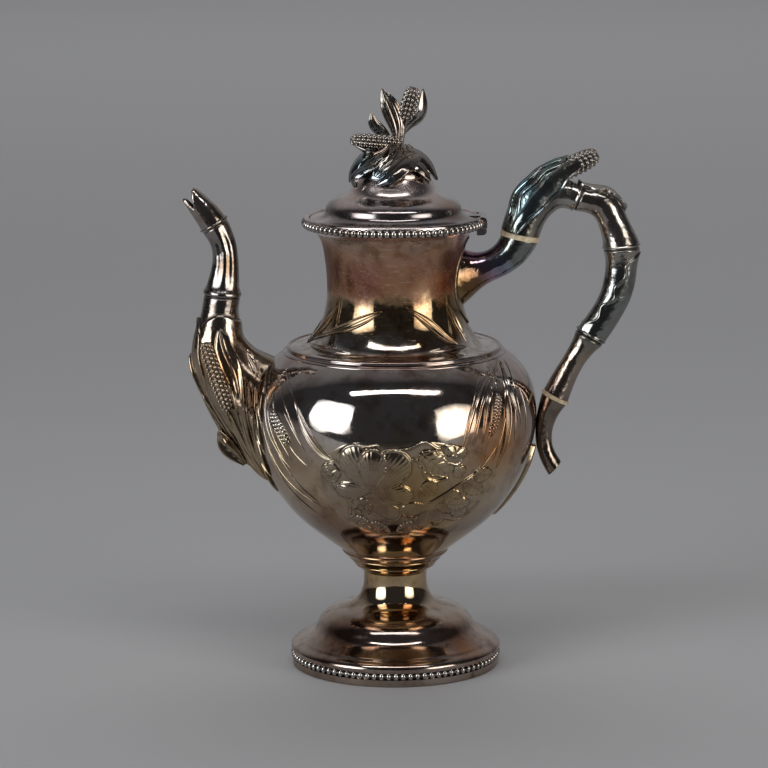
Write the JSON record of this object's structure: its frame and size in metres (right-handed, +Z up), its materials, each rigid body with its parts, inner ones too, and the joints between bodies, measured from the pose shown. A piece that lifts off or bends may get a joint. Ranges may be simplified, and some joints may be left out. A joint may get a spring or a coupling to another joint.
{
  "type": "coffee pot",
  "caption": "Tarnished silver-plated coffee pot on a beaded domed foot, with corn-husk spout, cane handle with bone heat stops and a hinged lid with corn finial.",
  "frame": {"origin": "on the table under the middle of the foot", "axes": "+Z up, spout towards -X, handle and hinge towards +X, +Y to the back"},
  "size_m": [0.2281, 0.1428, 0.2921],
  "materials": {
    "silver_spun": "polished silver plate, tarnished, thin and warm in places",
    "silver_cast": "cast and chased silver plate with dark tarnish in the hollows",
    "silver_wire": "beaded silver-plated wire, dark between the beads",
    "bone": "polished cream bone",
    "brass_fitting": "bare brass"
  },
  "bodies": {
    "pot": {"foot_base_ring": "silver_spun", "foot_pedestal": "silver_spun", "foot_bead_wire": "silver_wire", "stem_collar": "silver_spun", "bowl": "silver_spun", "shoulder_wire": "silver_wire", "neck": "silver_spun", "mouth_rim": "silver_spun", "mouth_bead_wire": "silver_wire", "spout_base": "silver_cast", "spout_ears": "silver_cast", "spout_leaf": "silver_cast", "spout_stalk": "silver_cast", "spout_lip": "silver_cast", "handle_upper_socket": "silver_cast", "handle_upper_insulator": "bone", "handle_grip": "silver_cast", "handle_husk": "silver_cast", "handle_ear": "silver_cast", "handle_bend_leaf": "silver_cast", "handle_lower_insulator": "bone", "handle_lower_socket": "silver_cast", "handle_leaf_mount": "silver_cast", "handle_pins": "brass_fitting", "hinge_bracket": "silver_cast", "hinge_pin": "brass_fitting"},
    "lid": {"lid_dome": "silver_spun", "lid_bezel": "silver_spun", "lid_knuckle": "silver_cast", "finial_calyx": "silver_cast", "finial_lying_ear": "silver_cast", "finial_upright_ear": "silver_cast", "finial_tall_leaf": "silver_cast", "finial_small_leaf": "silver_cast", "finial_stud": "brass_fitting", "finial_washer": "brass_fitting", "finial_nut": "brass_fitting"}
  },
  "joints": [
    {"name": "lid_hinge", "type": "hinge", "parent": "pot", "child": "lid", "pos_m": [0.0439, 0, 0.226], "axis": [0, 1, 0], "range_deg": [0, 80]}
  ]
}
